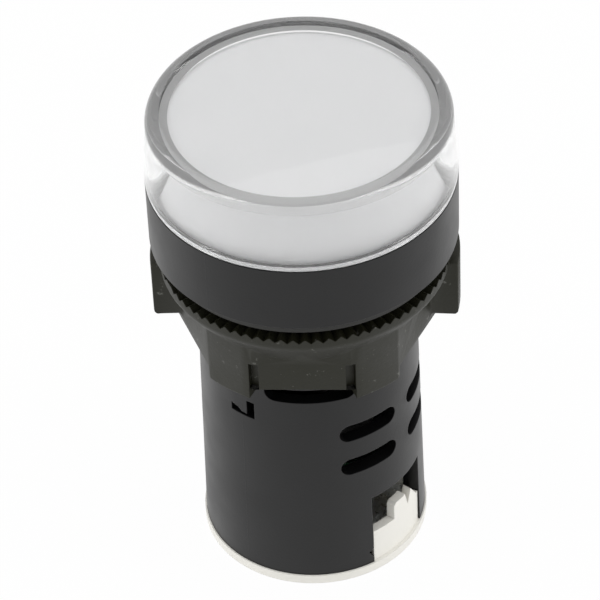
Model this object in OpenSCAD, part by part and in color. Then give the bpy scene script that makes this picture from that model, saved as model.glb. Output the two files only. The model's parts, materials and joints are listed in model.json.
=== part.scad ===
// Panel pilot light for a 22 mm hole, standing on its terminal end with the lens up.
// The origin is the middle of the underside of the base. The two terminal windows face +X and -X.

/* [Head] */
// Diameter of the bezel
head_d = 28.8; // [27.6:0.1:32]
// Height of the bezel in front of the panel
bezel_h = 7.1; // [5.5:0.1:10]
// Wall of the bezel round the lens
bezel_wall = 1.1; // [0.8:0.05:1.4]
// Thickness of the floor under the lamp board
floor_t = 1.7; // [1:0.1:2.4]
// Width of the hole in that floor
floor_hole_d = 12; // [9:0.5:14]
// Small chamfer on the lower edge of the bezel
bezel_chamfer = 0.4; // [0.1:0.05:0.6]

/* [Lens] */
// Height of the clear cap above the bezel
lens_h = 7.3; // [5:0.1:9]
// How much the diameter narrows towards the top of the cap
lens_draft = 0.9; // [0:0.1:1.5]
// Side wall of the cap
lens_wall = 1.3; // [1:0.05:1.6]
// Thickness of the flat top of the cap
lens_top_t = 1.2; // [0.8:0.1:1.6]
// Radius of the rounded top edge
lens_edge_r = 0.9; // [0.4:0.05:1.1]
// How far the cap plugs into the bezel
lens_plug_h = 2; // [1:0.1:3]
// Wall of the plug
lens_plug_wall = 0.5; // [0.4:0.05:0.9]

/* [Diffuser] */
// Side gap between the top of the diffuser and the cap
diffuser_side_gap = 0.35; // [0.3:0.05:2]
// Side wall and top of the diffuser
diffuser_wall = 0.9; // [0.6:0.05:1.5]
// Air gap between the diffuser and the cap above it
diffuser_gap = 0.3; // [0.1:0.05:1]

/* [Barrel and tube] */
// Length from the underside of the bezel to the foot
behind_l = 36.3; // [34:0.1:42]
// Outer diameter of the threaded barrel
thread_d = 22; // [21.7:0.05:22.3]
// Length of the threaded barrel
thread_l = 10.5; // [9.9:0.1:11.5]
// Diameter of the tube just under the thread
neck_d = 20.8; // [20.2:0.05:21.2]
// Diameter of the tube at its lower end
foot_d = 21.7; // [21.2:0.05:21.9]
// Wall of the tube at the neck
tube_wall = 1.2; // [1:0.05:1.5]

/* [Vents] */
// Height of one vent slot
vent_h = 2; // [1.2:0.1:2.6]
// Length of one vent slot across its rounded ends
vent_w = 6.2; // [4:0.1:7]
// Height of the lower row of vents
vent_row_z = 14.7; // [13.5:0.1:16]
// Distance between the two rows
vent_row_pitch = 4.3; // [3:0.1:5]
// Angle between the two columns of vents over each window
vent_column_pitch = 45; // [42:1:50]
// Turn of the vent columns from the middle of the window
vent_turn = 1.8; // [-3:0.1:3]
// Length of the slot under the thread
upper_slot_w = 8.6; // [6:0.1:9.5]
// Height of the middle of that slot
upper_slot_z = 24.6; // [23.5:0.1:24.7]
// Angle of that slot from the terminal window
upper_slot_angle = -52; // [-60:1:-45]

/* [Snap tongue] */
// Width of the opening round the snap tongue
tongue_hole_w = 2.7; // [2:0.1:3.5]
// Height of that opening
tongue_hole_h = 2; // [1.4:0.1:2.6]
// Width of the tongue
tongue_w = 1; // [0.5:0.1:1.4]
// Height of the middle of the opening
tongue_z = 21.5; // [20:0.1:22]

/* [Terminal window] */
// Angle that the window spans round the tube
window_angle = 39.5; // [34:0.5:44]
// Turn of the middle of the window
window_turn = -1.6; // [-3:0.1:3]
// Height of the top edge of the window
window_top = 9.6; // [9:0.1:11]
// Depth of the snap notch in the side of the window
window_notch = 0.55; // [0.2:0.05:0.8]

/* [Panel seal] */
// Thickness of the rubber seal under the bezel
gasket_t = 1; // [0.6:0.1:1.3]
// How far the gasket stays inside the flange of the nut
gasket_inset = 0.25; // [0:0.05:0.5]

/* [Fixing nut] */
// Diameter over the toothed flange
nut_flange_d = 27.3; // [26:0.1:28]
// Thickness of the flange under the teeth
nut_flange_t = 0.8; // [0.5:0.1:1.5]
// Number of teeth round the flange
nut_teeth = 78; // [36:2:90]
// Height of a tooth
nut_tooth_h = 0.45; // [0.3:0.05:0.7]
// Radial length of a tooth
nut_tooth_l = 1.3; // [0.8:0.1:1.8]
// Height of the tips of the teeth
nut_top = 34.5; // [34:0.1:35]
// Height of the underside of the grips
nut_bottom = 25.2; // [24.8:0.1:26]
// Diameter over the rounded grips
nut_grip_d = 24.9; // [24.4:0.1:25.4]
// Distance across the flats
nut_flats = 23.2; // [23:0.1:24]
// Angle from the front flat to a side flat
nut_side_flat_angle = 66; // [62:1:70]
// Angle from the front flat to the near edge of a grip
nut_grip_from = 23.6; // [22:0.2:30]
// Angle from the front flat to the far edge of a grip
nut_grip_to = 46.8; // [40:0.2:50]
// How far the flats stop above the grips' underside
nut_flat_lift = 1.3; // [0.5:0.1:2]
// Height of the flats
nut_flat_h = 3.4; // [2:0.1:4]
// Width of the groove beside a flat
nut_groove_w = 0.9; // [0.5:0.05:1.2]
// Depth of that groove
nut_groove_d = 0.65; // [0.3:0.05:0.9]
// Diameter over the two wings
nut_wing_d = 29; // [28:0.1:30]
// Width of a wing
nut_wing_w = 4.6; // [3:0.1:6]
// Height of the underside of the wings
nut_wing_bottom = 27.5; // [26.5:0.1:28]
// Height of the top of the wings
nut_wing_top = 33.9; // [33:0.1:34]
// Turn of the nut on the thread, as it happens to stand
nut_turn = -55.3; // [-90:0.1:90]

/* [Terminal block] */
// Diameter of the base flange
base_d = 22; // [21.6:0.05:22]
// Thickness of the base flange
base_t = 1; // [0.6:0.1:1.5]
// Height of the ledge in the window
ledge_z = 4.9; // [4.6:0.1:6]
// Thickness of the white wall in the window
window_wall_t = 0.9; // [0.6:0.05:1.2]
// Height of the taller prong in the window
prong_z = 6.9; // [6.4:0.1:8]
// Height of the peak of the lower prong
prong_low_z = 6.8; // [6:0.1:7.6]
// Height of the point of the notch between the prongs
prong_notch_z = 5.2; // [5:0.1:6.2]
// Distance of each terminal from the middle
terminal_x = 5.3; // [5.1:0.05:5.4]
// Diameter of the screwdriver well
well_d = 5.8; // [5.6:0.1:5.9]

/* [Terminals] */
// Underside of the fixed terminal plates
plate_z = 7.4; // [7.2:0.1:8]
// Thickness of the plates
plate_t = 1.2; // [0.8:0.1:1.5]
// Width of the plates
plate_w = 7.2; // [6.8:0.1:7.4]
// Diameter of the terminal screws
screw_d = 2.9; // [2.4:0.1:3]
// Diameter of the screw head
screw_head_d = 5.2; // [4.6:0.1:5.3]
// Height of the screw head
screw_head_h = 1.8; // [1.4:0.1:2]
// Height of the upper face of the screw head
screw_seat_z = 4.3; // [4.1:0.1:4.4]
// Length of the shank
screw_l = 4.9; // [4.6:0.1:6]
// Width of the clamp washer
washer_w = 5.5; // [5:0.1:5.6]
// Distance of its outer edge from the middle
washer_reach = 9.1; // [8.2:0.1:9.2]
// Thickness of the clamp washer
washer_t = 0.8; // [0.5:0.1:1]

/* [Electronics] */
// Thickness of the two boards
board_t = 1.2; // [0.8:0.1:1.6]
// Width of the driver board
board_w = 16.6; // [14:0.1:17]
// Height of the lower edge of the driver board
board_z = 9.5; // [9:0.1:11]
// Height of the driver board
board_h = 24; // [22:0.5:25]
// Side of one lamp chip
chip_w = 3.5; // [2.8:0.1:4.5]
// Distance of the lamp chips from the edge of their board
chip_edge = 4.9; // [3:0.1:7]
// Width of the film capacitor
film_w = 12; // [8:0.5:14]
// Height of the film capacitor
film_h = 11; // [7:0.5:12]
// How far the film capacitor stands off the board
film_t = 6; // [3:0.5:7]
// Diameter of the smoothing capacitor
can_d = 5; // [4:0.5:6]
// Height of the smoothing capacitor
can_h = 8; // [5:0.5:9]
// Width of the bridge rectifier
bridge_w = 4.7; // [4:0.1:6]
// Height of the bridge rectifier
bridge_h = 3.9; // [3:0.1:5]
// Thickness of the bridge rectifier
bridge_t = 1.6; // [1:0.1:2.5]
// Diameter of the bleed resistor
bleed_d = 2.2; // [1.8:0.1:3]
// Length of the body of the bleed resistor
bleed_l = 6.3; // [5:0.1:8]
// Diameter of the limiting resistor
limiting_d = 3; // [2:0.1:4]
// Length of the body of the limiting resistor
limiting_l = 8; // [6:0.1:9]

/* [Hidden] */
$fn = 96;

// Overshoot of a cut past the face that it opens
cut = 1;
// Running clearance of a shaft in its hole
run_gap = 0.05;
// Clearance of a piece that is pushed into its seat
seat_gap = 0.1;

panel_z = behind_l;
bezel_top = panel_z + bezel_h;
head_r = head_d / 2;
cup_r = head_r - bezel_wall;
floor_z = panel_z + floor_t;
thread_r = thread_d / 2;
thread_z = panel_z - thread_l;
neck_r = neck_d / 2;
foot_r = foot_d / 2;
bore_r = neck_r - tube_wall;
bore_top = panel_z;

led_count = 6;
chip_t = 0.8;
led_board_gap = 1;
led_board_r = cup_r - led_board_gap;
chip_ring_r = led_board_r - chip_edge;
led_board_top = floor_z + board_t;

lens_top = bezel_top + lens_h;
lens_top_r = head_r - lens_draft / 2;
plug_r = cup_r - run_gap;

diffuser_top = lens_top - lens_top_t - diffuser_gap;
diffuser_r = lens_top_r - lens_wall - diffuser_side_gap;
diffuser_foot_gap = 0.3;
diffuser_foot_r = plug_r - lens_plug_wall - diffuser_foot_gap;

nut_bore_r = thread_r + run_gap;
nut_root_z = nut_top - nut_tooth_h;
nut_flange_z = nut_root_z - nut_flange_t;
nut_flat_z = nut_bottom + nut_flat_lift;
nut_flat_top = nut_flat_z + nut_flat_h;
nut_flange_r = nut_flange_d / 2;
nut_grip_r = nut_grip_d / 2;
// Step down from the roots of the teeth to the ring inside them
nut_rim_step = 0.15;

block_r = bore_r - seat_gap;
wall_gap = 0.1;
pocket_w = washer_w + 4 * seat_gap;
pocket_z = screw_seat_z - screw_head_h - 4 * seat_gap;
mouth_z = screw_seat_z - 3 * seat_gap;
gasket_d = nut_flange_d - 2 * gasket_inset;
window_notch_h = 1.4;
plate_end_gap = 0.7;
plate_tab_h = 2.6;
post_t = 0.9;
window_from = window_turn - window_angle / 2;
window_to = window_turn + window_angle / 2;
window_wall_r = foot_r - 2 * wall_gap;
board_face = board_t / 2;

// Link pins between the two boards
pin_d = 0.8;
pin_y = 3;
pin_overlap = 4;
pin_stub = 0.6;

// Leads of the two resistors
lead_d = 0.6;
lead_reach = 1.6;
lead_lift = 0.2;

// A slot outline with round ends, w long and h high, about the origin
module slot_outline(w, h) {
    square([h, w - h], center = true);
    translate([0, (w - h) / 2]) circle(d = h);
    translate([0, (h - w) / 2]) circle(d = h);
}

// A radial cut through the tube wall at one angle and height
module radial_slot(angle, z, w, h) {
    rotate([0, 0, angle])
        translate([bore_r - cut, 0, z])
            rotate([0, 90, 0])
                linear_extrude(foot_r - bore_r + 2 * cut) slot_outline(w, h);
}

// A flat wedge from the middle, between two angles
module wedge(from_angle, to_angle, reach) {
    polygon([[0, 0],
        [reach * cos(from_angle), reach * sin(from_angle)],
        [reach * 1.1 * cos((from_angle + to_angle) / 2), reach * 1.1 * sin((from_angle + to_angle) / 2)],
        [reach * cos(to_angle), reach * sin(to_angle)]]);
}

// Part of a ring between two radii and two angles
module ring_part(inner_r, outer_r, from_angle, to_angle) {
    intersection() {
        difference() {
            circle(outer_r);
            circle(inner_r);
        }
        wedge(from_angle, to_angle, outer_r * 1.3);
    }
}

// Both sides of a shape that the part has twice, half a turn apart
module both_sides() {
    for (turn = [0, 180]) rotate([0, 0, turn]) children();
}

module housing_shell() {
    rotate_extrude() polygon([
        [bore_r, base_t], [foot_r, base_t], [neck_r, thread_z], [thread_r, thread_z],
        [thread_r, panel_z], [head_r - bezel_chamfer, panel_z], [head_r, panel_z + bezel_chamfer],
        [head_r, bezel_top], [cup_r, bezel_top], [cup_r, floor_z], [floor_hole_d / 2, floor_z],
        [floor_hole_d / 2, bore_top], [bore_r, bore_top]]);
}

// The opening that the wires go through, with a snap notch low in one side
module terminal_window() {
    notch_z = base_t + window_notch_h;
    linear_extrude(window_top) ring_part(bore_r - cut, foot_r + cut, window_from, window_to);
    rotate([0, 0, window_from])
        translate([bore_r - cut, 0, notch_z])
            rotate([90, 0, 90])
                linear_extrude(foot_r - bore_r + 2 * cut)
                    polygon([[0.1, -0.9], [-window_notch, 0.1], [0.1, 0.5]]);
}

// A hooked tongue that hangs in its own opening, with a full slit at one side and under it
module tongue_opening() {
    half_w = tongue_hole_w / 2;
    half_h = tongue_hole_h / 2;
    slit = 0.35;
    barb = 0.4;
    translate([0, 0, tongue_z])
        rotate([90, 0, 0])
            linear_extrude(foot_r + cut) polygon([[-half_w, -half_h], [half_w, -half_h], [half_w, half_h],
                [tongue_w / 2, half_h], [tongue_w / 2, slit - half_h], [barb - tongue_w / 2, slit - half_h],
                [-tongue_w / 2, 2 * slit - half_h], [-half_w, 2 * slit + barb / 2 - half_h]]);
}

// Two ribs that hold one edge of the driver board
module board_guide() {
    rib_t = 1;
    grip = 1.2;
    end_gap = 2;
    rib_start = board_w / 2 - grip;
    for (side = [-1, 1])
        translate([side * (board_face + run_gap + rib_t / 2) - rib_t / 2, rib_start, board_z + end_gap])
            cube([rib_t, neck_r - rib_start, board_h - 2 * end_gap]);
}

module housing() {
    color("#2b2b2c") difference() {
        union() {
            housing_shell();
            intersection() {
                both_sides() board_guide();
                cylinder(r = bore_r + tube_wall / 2, h = bore_top);
            }
        }
        both_sides() {
            terminal_window();
            radial_slot(upper_slot_angle, upper_slot_z, upper_slot_w, vent_h);
            for (column = [-0.5, 0.5])
                for (row = [0, 1])
                    radial_slot(vent_turn + column * vent_column_pitch, vent_row_z + row * vent_row_pitch,
                        vent_w, vent_h);
        }
        both_sides() intersection() {
            tongue_opening();
            translate([-tongue_hole_w, -foot_r - cut, 0])
                cube([2 * tongue_hole_w, foot_r - bore_r + 2 * cut, panel_z]);
        }
    }
}

module lens_cap() {
    inner_top = lens_top - lens_top_t;
    color("#e8eef0", 0.35) rotate_extrude() difference() {
        union() {
            polygon([[0, bezel_top], [head_r, bezel_top], [lens_top_r, lens_top - lens_edge_r],
                [lens_top_r - lens_edge_r, lens_top], [0, lens_top]]);
            translate([lens_top_r - lens_edge_r, lens_top - lens_edge_r]) circle(lens_edge_r);
            translate([0, bezel_top - lens_plug_h]) square([plug_r, lens_plug_h]);
        }
        polygon([[-cut, bezel_top - lens_plug_h - cut],
            [plug_r - lens_plug_wall, bezel_top - lens_plug_h - cut],
            [plug_r - lens_plug_wall, bezel_top], [head_r - lens_wall, bezel_top],
            [lens_top_r - lens_wall, inner_top], [-cut, inner_top]]);
        translate([-2 * cup_r, 0]) square([2 * cup_r, 2 * lens_top]);
    }
}

module diffuser() {
    chamfer = 0.3;
    color("#f4f4f2") rotate_extrude() polygon([
        [diffuser_foot_r - diffuser_wall, led_board_top], [diffuser_foot_r, led_board_top],
        [diffuser_r, diffuser_top - chamfer], [diffuser_r - chamfer, diffuser_top], [0, diffuser_top],
        [0, diffuser_top - diffuser_wall], [diffuser_r - diffuser_wall, diffuser_top - diffuser_wall]]);
}

module panel_gasket() {
    color("#161616") translate([0, 0, panel_z - gasket_t]) difference() {
        cylinder(d = gasket_d, h = gasket_t);
        translate([0, 0, -cut]) cylinder(r = thread_r + run_gap, h = gasket_t + 2 * cut);
    }
}

// Outline of the nut's grips: a circle with six flats, the side ones drawn in towards the wings
module nut_grip_outline() {
    difference() {
        circle(nut_grip_r);
        for (side = [0, 180])
            for (flat = [-nut_side_flat_angle, 0, nut_side_flat_angle])
                rotate(side + flat)
                    translate([nut_flats / 2, -nut_grip_r]) square([nut_grip_r, 2 * nut_grip_r]);
    }
}

// A notch outline with straight sides from its point up past the face that it is cut in
module notch_outline(w, depth) {
    reach = 1 + cut / depth;
    polygon([[0, -depth], [w / 2 * reach, depth * (reach - 1)], [-w / 2 * reach, depth * (reach - 1)]]);
}

// One tooth gap, cut down into the flange, which leaves a narrow flat tip on each tooth
module tooth_gap() {
    share = 0.9;
    pitch = 2 * PI * nut_flange_r / nut_teeth;
    translate([nut_flange_r - nut_tooth_l - nut_rim_step, 0, nut_top])
        rotate([90, 0, 90])
            linear_extrude(nut_tooth_l + nut_rim_step + cut) notch_outline(pitch * share, nut_tooth_h);
}

module nut_wing() {
    translate([-nut_wing_d / 2, -nut_wing_w / 2, nut_wing_bottom])
        cube([nut_wing_d, nut_wing_w, nut_wing_top - nut_wing_bottom]);
}

// Groove between a flat and the grip beside it
module nut_groove(side) {
    groove_angle = side * acos(nut_flats / nut_grip_d);
    groove_stop = 0.3;
    rotate([0, 0, groove_angle])
        translate([nut_grip_r - nut_groove_d, -nut_groove_w / 2, nut_flat_z])
            cube([nut_groove_d + cut, nut_groove_w, nut_flat_h - groove_stop]);
}

// The body under the flange: flats all round, and grips that reach lower between them
module nut_body() {
    intersection() {
        translate([0, 0, nut_bottom]) linear_extrude(nut_flange_z - nut_bottom) nut_grip_outline();
        union() {
            translate([0, 0, nut_flat_z]) cylinder(r = nut_grip_r, h = nut_flange_z - nut_flat_z);
            translate([0, 0, nut_bottom])
                linear_extrude(nut_flat_z - nut_bottom)
                    for (side = [0, 180]) rotate(side) {
                        wedge(nut_grip_from, nut_grip_to, nut_flange_d);
                        wedge(-nut_grip_to, -nut_grip_from, nut_flange_d);
                    }
        }
    }
}

module fixing_nut() {
    color("#38392f") rotate([0, 0, nut_turn]) difference() {
        union() {
            nut_body();
            translate([0, 0, nut_flat_top])
                cylinder(r1 = nut_flats / 2 - nut_rim_step, r2 = nut_flange_r - nut_rim_step,
                    h = nut_flange_z - nut_flat_top);
            translate([0, 0, nut_flange_z]) cylinder(r = nut_flange_r, h = nut_top - nut_flange_z);
            intersection() {
                rotate([0, 0, 90]) nut_wing();
                translate([0, 0, nut_wing_bottom]) cylinder(d = nut_wing_d, h = nut_top);
            }
        }
        translate([0, 0, nut_bottom - cut]) cylinder(r = nut_bore_r, h = nut_top - nut_bottom + 2 * cut);
        translate([0, 0, nut_root_z - nut_rim_step])
            cylinder(r = nut_flange_r - nut_tooth_l, h = nut_tooth_h + nut_rim_step + cut);
        for (tooth = [0 : nut_teeth - 1]) rotate([0, 0, tooth * 360 / nut_teeth]) tooth_gap();
        both_sides() for (side = [-1, 1]) nut_groove(side);
    }
}

module pin_place(side) {
    translate([board_face + pin_d / 2, side * pin_y, 0]) children();
}

module link_pin(side) {
    pin_bottom = board_z + board_h - pin_overlap;
    color("#c8c9c6") pin_place(side) translate([0, 0, pin_bottom])
        cylinder(d = pin_d, h = led_board_top + pin_stub - pin_bottom);
}

module led_board() {
    color("#e6e7e2") translate([0, 0, floor_z]) difference() {
        cylinder(r = led_board_r, h = board_t);
        for (side = [-1, 1])
            pin_place(side) translate([0, 0, -cut]) cylinder(d = pin_d + 2 * run_gap, h = board_t + 2 * cut);
    }
}

module led(index) {
    side = chip_w * 0.8;
    cup_d = chip_w * 0.6;
    gel_t = chip_t * 0.3;
    rotate([0, 0, (index + 0.5) * 360 / led_count]) translate([chip_ring_r, 0, led_board_top]) {
        color("#f0eee6") difference() {
            translate([-chip_w / 2, -side / 2, 0]) cube([chip_w, side, chip_t]);
            translate([0, 0, chip_t / 2]) cylinder(d = cup_d, h = chip_t);
        }
        color("#e9d24e") translate([0, 0, chip_t / 2]) cylinder(d = cup_d, h = gel_t);
    }
}

module driver_board() {
    color("#3f6f43") translate([-board_face, -board_w / 2, board_z]) cube([board_t, board_w, board_h]);
}

module film_capacitor() {
    above_edge = 5;
    color("#2a2523") translate([board_face, -film_w / 2, board_z + above_edge])
        cube([film_t, film_w, film_h]);
}

module smoothing_capacitor() {
    can_r = can_d / 2;
    above_edge = 14;
    side_y = 4;
    groove = 0.3;
    groove_z = 1.1;
    edge = 0.2;
    color("#22314c") translate([-board_face - can_r, side_y, board_z + above_edge]) rotate_extrude() polygon([
        [0, 0], [can_r, 0], [can_r, groove_z - groove], [can_r - groove, groove_z],
        [can_r, groove_z + groove], [can_r, can_h - edge], [can_r - edge, can_h], [0, can_h]]);
}

module bridge_rectifier() {
    above_edge = 8.5;
    color("#262626") translate([-board_face - bridge_t, -bridge_w / 2, board_z + above_edge])
        cube([bridge_t, bridge_w, bridge_h]);
}

// Resistor with its two leads bent back to the board; face is +1 or -1 for the side of the board
module axial_resistor(body_d, body_l, face) {
    lead_span = body_l + 2 * lead_reach;
    rotate([90, 0, 0]) translate([0, 0, -body_l / 2]) cylinder(d = body_d, h = body_l);
    rotate([90, 0, 0]) translate([0, 0, -lead_span / 2]) cylinder(d = lead_d, h = lead_span);
    for (end = [-1, 1])
        translate([0, end * (lead_span - lead_d) / 2, 0])
            rotate([0, -90 * face, 0]) cylinder(d = lead_d, h = body_d / 2 + lead_lift);
}

module bleed_resistor() {
    above_edge = 4;
    color("#c9a77a") translate([-board_face - bleed_d / 2 - lead_lift, 0, board_z + above_edge])
        axial_resistor(bleed_d, bleed_l, -1);
}

module limiting_resistor() {
    above_edge = 18.3;
    color("#8aa0ae") translate([board_face + limiting_d / 2 + lead_lift, 0, board_z + above_edge])
        axial_resistor(limiting_d, limiting_l, 1);
}

// Side view of the two prongs, with a notch between them; the lower one slopes away
module prong_outline() {
    start_y = -1.2;
    end_y = 3.1;
    corner = 0.3;
    peak_y = 0.55;
    notch_y = 1;
    low_y = 1.6;
    polygon([[start_y, base_t], [start_y, prong_z - corner], [start_y + corner, prong_z],
        [peak_y, prong_z], [notch_y, prong_notch_z], [low_y, prong_low_z], [end_y, ledge_z - corner],
        [end_y, base_t]]);
}

// The thin white wall in the window, with its prongs, on a foot that joins it to the block
module window_wall() {
    edge_angle = 0.5;
    wall_in = window_wall_r - window_wall_t;
    foot_in = block_r - window_wall_t;
    translate([0, 0, base_t]) linear_extrude(mouth_z - base_t)
        ring_part(foot_in, window_wall_r, window_from + edge_angle, window_to - edge_angle);
    translate([0, 0, base_t]) linear_extrude(ledge_z - base_t)
        ring_part(wall_in, window_wall_r, window_from + edge_angle, window_to - edge_angle);
    intersection() {
        translate([0, 0, base_t]) linear_extrude(prong_z)
            ring_part(wall_in, window_wall_r, window_from + edge_angle, window_to - edge_angle);
        rotate([90, 0, 90]) linear_extrude(foot_r) prong_outline();
    }
}

// The walls that carry one terminal plate
module plate_cradle() {
    post_x = 2;
    seat_in = plate_w / 2 - 0.6;
    cheek_in = plate_w / 2 + seat_gap;
    post_out = plate_w / 2 + post_t;
    for (side = [-1, 1]) {
        translate([post_x, side > 0 ? seat_in : -post_out, base_t])
            cube([block_r, post_out - seat_in, plate_z - base_t]);
        translate([post_x, side > 0 ? cheek_in : -post_out, base_t])
            cube([block_r, post_out - cheek_in, plate_z + plate_t - base_t]);
    }
}

// The screwdriver well, the room for the clamp and the mouth that the wire goes in through
module terminal_pocket() {
    translate([terminal_x, 0, -cut]) cylinder(d = well_d, h = board_z);
    translate([terminal_x - pocket_w / 2, -pocket_w / 2, pocket_z]) cube([pocket_w, pocket_w, board_z]);
    intersection() {
        translate([terminal_x, -pocket_w / 2, mouth_z]) cube([block_r, pocket_w, board_z]);
        cylinder(r = window_wall_r - window_wall_t, h = board_z);
    }
}

module terminal_block() {
    color("#e9e8e2") difference() {
        union() {
            cylinder(d = base_d, h = base_t);
            intersection() {
                cylinder(r = block_r, h = board_z);
                union() {
                    cylinder(r = block_r, h = ledge_z);
                    both_sides() plate_cradle();
                    translate([-board_face, -block_r, 0]) cube([board_t, 2 * block_r, board_z]);
                }
            }
            both_sides() window_wall();
        }
        both_sides() terminal_pocket();
    }
}

module terminal_plate() {
    plate_end = block_r - plate_end_gap;
    tab_w = 3;
    tab_t = 0.6;
    tab_top = board_z + plate_tab_h;
    color("#b9a46a") difference() {
        union() {
            intersection() {
                translate([board_face, -plate_w / 2, plate_z]) cube([plate_end, plate_w, plate_t]);
                cylinder(r = plate_end, h = plate_z + plate_t);
            }
            translate([board_face, -tab_w / 2, plate_z]) cube([tab_t, tab_w, tab_top - plate_z]);
        }
        translate([terminal_x, 0, plate_z - cut]) cylinder(d = screw_d + 2 * run_gap, h = plate_t + 2 * cut);
    }
}

module clamp_washer() {
    corner = 0.5;
    inner_x = terminal_x - washer_w / 2;
    color("#c3c5c6") translate([0, 0, screw_seat_z]) difference() {
        linear_extrude(washer_t) difference() {
            translate([inner_x, -washer_w / 2]) square([washer_reach - inner_x, washer_w]);
            for (side = [-1, 1])
                for (end = [inner_x, washer_reach])
                    translate([end, side * washer_w / 2]) circle(corner);
        }
        translate([terminal_x, 0, -cut]) cylinder(d = screw_d + 2 * run_gap, h = washer_t + 2 * cut);
    }
}

module terminal_screw() {
    slot_w = 0.8;
    slot_d = 0.8;
    slot_l = 0.75 * screw_head_d;
    crown = 0.35;
    tip = 0.4;
    tip_z = screw_seat_z + screw_l - tip;
    head_r = screw_head_d / 2;
    head_z = screw_seat_z - screw_head_h;
    color("#d0d2d3") translate([terminal_x, 0, 0]) difference() {
        union() {
            translate([0, 0, head_z + crown]) cylinder(r = head_r, h = screw_head_h - crown);
            translate([0, 0, head_z]) cylinder(r1 = head_r - crown, r2 = head_r, h = crown);
            translate([0, 0, screw_seat_z]) cylinder(d = screw_d, h = screw_l - tip);
            translate([0, 0, tip_z]) cylinder(d1 = screw_d, d2 = screw_d - 2 * tip, h = tip);
        }
        for (turn = [0, 90])
            rotate([0, 0, turn])
                translate([-slot_l / 2, -slot_w / 2, head_z - cut]) cube([slot_l, slot_w, slot_d + cut]);
    }
}

module side_turn(index) {
    rotate([0, 0, 180 * (index - 1)]) children();
}

housing();
lens_cap();
diffuser();
panel_gasket();
fixing_nut();
led_board();
for (index = [0 : led_count - 1])
    led(index);
driver_board();
film_capacitor();
smoothing_capacitor();
bridge_rectifier();
bleed_resistor();
limiting_resistor();
link_pin(1);  // link_pin_1
link_pin(-1);  // link_pin_2
terminal_block();
side_turn(1) terminal_plate();  // terminal_plate_1
side_turn(2) terminal_plate();  // terminal_plate_2
side_turn(1) clamp_washer();  // clamp_washer_1
side_turn(2) clamp_washer();  // clamp_washer_2
side_turn(1) terminal_screw();  // terminal_screw_1
side_turn(2) terminal_screw();  // terminal_screw_2
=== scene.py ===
"""Looks of a panel pilot light: its plastics, rubber, metal parts and boards, built round the CAD frame."""

import json
import math

import bmesh
import bpy
from mathutils import Matrix, Vector

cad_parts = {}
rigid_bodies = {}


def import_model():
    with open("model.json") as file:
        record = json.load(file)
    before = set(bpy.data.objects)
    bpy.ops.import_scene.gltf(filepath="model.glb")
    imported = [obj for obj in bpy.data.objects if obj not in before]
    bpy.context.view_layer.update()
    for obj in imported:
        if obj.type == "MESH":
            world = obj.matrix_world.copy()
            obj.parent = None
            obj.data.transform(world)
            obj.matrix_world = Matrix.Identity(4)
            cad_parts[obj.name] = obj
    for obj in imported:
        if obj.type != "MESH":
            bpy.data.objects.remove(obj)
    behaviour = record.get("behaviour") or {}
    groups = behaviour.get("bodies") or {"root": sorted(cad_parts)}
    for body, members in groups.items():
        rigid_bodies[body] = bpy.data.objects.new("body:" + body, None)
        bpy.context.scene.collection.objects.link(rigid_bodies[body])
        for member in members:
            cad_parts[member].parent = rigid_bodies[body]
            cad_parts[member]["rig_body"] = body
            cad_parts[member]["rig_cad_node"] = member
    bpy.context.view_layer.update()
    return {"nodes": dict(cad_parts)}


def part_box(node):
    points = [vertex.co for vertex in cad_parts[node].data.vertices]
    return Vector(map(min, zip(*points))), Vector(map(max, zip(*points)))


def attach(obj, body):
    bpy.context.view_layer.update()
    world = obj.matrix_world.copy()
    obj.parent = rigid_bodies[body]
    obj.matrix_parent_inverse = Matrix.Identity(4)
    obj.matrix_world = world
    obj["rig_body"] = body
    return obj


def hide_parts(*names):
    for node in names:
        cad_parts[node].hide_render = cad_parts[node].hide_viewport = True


bl_info = {
    "name": "Panel pilot light",
    "version": (1, 0, 0),
    "blender": (4, 5, 0),
    "location": "3D View > Sidebar > Pilot light",
    "description": "Dresses the solids of a panel pilot light with its real finishes and fine parts",
    "category": "Object",
}

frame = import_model()
MM = 0.001


def linear(hex_colour):
    """An sRGB hex colour as linear red, green and blue."""
    parts = [int(hex_colour[i : i + 2], 16) / 255 for i in (1, 3, 5)]
    return [p / 12.92 if p <= 0.04045 else ((p + 0.055) / 1.055) ** 2.4 for p in parts]


WHITE = (*linear("#ffffff"), 1)


def colour_property(name, description, hex_colour):
    """A colour that a user may change, given as sRGB hex."""
    return bpy.props.FloatVectorProperty(
        name=name, description=description, subtype="COLOR", size=3, min=0, max=1, default=linear(hex_colour)
    )


def length_property(name, description, millimetres):
    """A length that a user may change, given in millimetres and kept in metres."""
    return bpy.props.FloatProperty(
        name=name, description=description, subtype="DISTANCE", unit="LENGTH", min=0, precision=5,
        default=millimetres * MM,
    )


class PILOT_PG_sizes(bpy.types.PropertyGroup):
    """Sizes of the parts that are shaped here."""

    lens_edge: length_property("Lens edge", "Radius of the rounded top edge of the clear lens", 1.0)
    lens_wall: length_property("Lens wall", "Thickness of the side wall of the clear lens", 1.3)
    lens_top: length_property("Lens top", "Thickness of the flat top of the clear lens", 1.2)
    plug_wall: length_property("Plug wall", "Wall of the lens plug that sits in the bezel", 0.5)
    # the eroded border is also painted grey, as painted shade for the dark bezel seen inside the lens wall
    lens_border: length_property("Lens border", "Width of the eroded border under the top of the lens", 0.75)
    shoulder_gap: length_property("Shoulder gap", "Air gap between the lens and the bezel", 0.06)
    thread_pitch: length_property("Thread pitch", "Distance between two turns of the barrel thread", 1.5)
    thread_depth: length_property("Thread depth", "Depth of the groove of the barrel thread", 0.55)
    nut_edge: length_property("Nut edge", "Rounding of the outside edges of the fixing nut", 0.22)
    edge_break: length_property("Edge rounding", "Radius that moulding leaves on an outside edge", 0.12)
    solder_width: length_property("Solder joint", "Width of a solder joint on the boards", 1.5)
    leg_width: length_property("Leg width", "Thickness of a component leg", 0.5)


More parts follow.
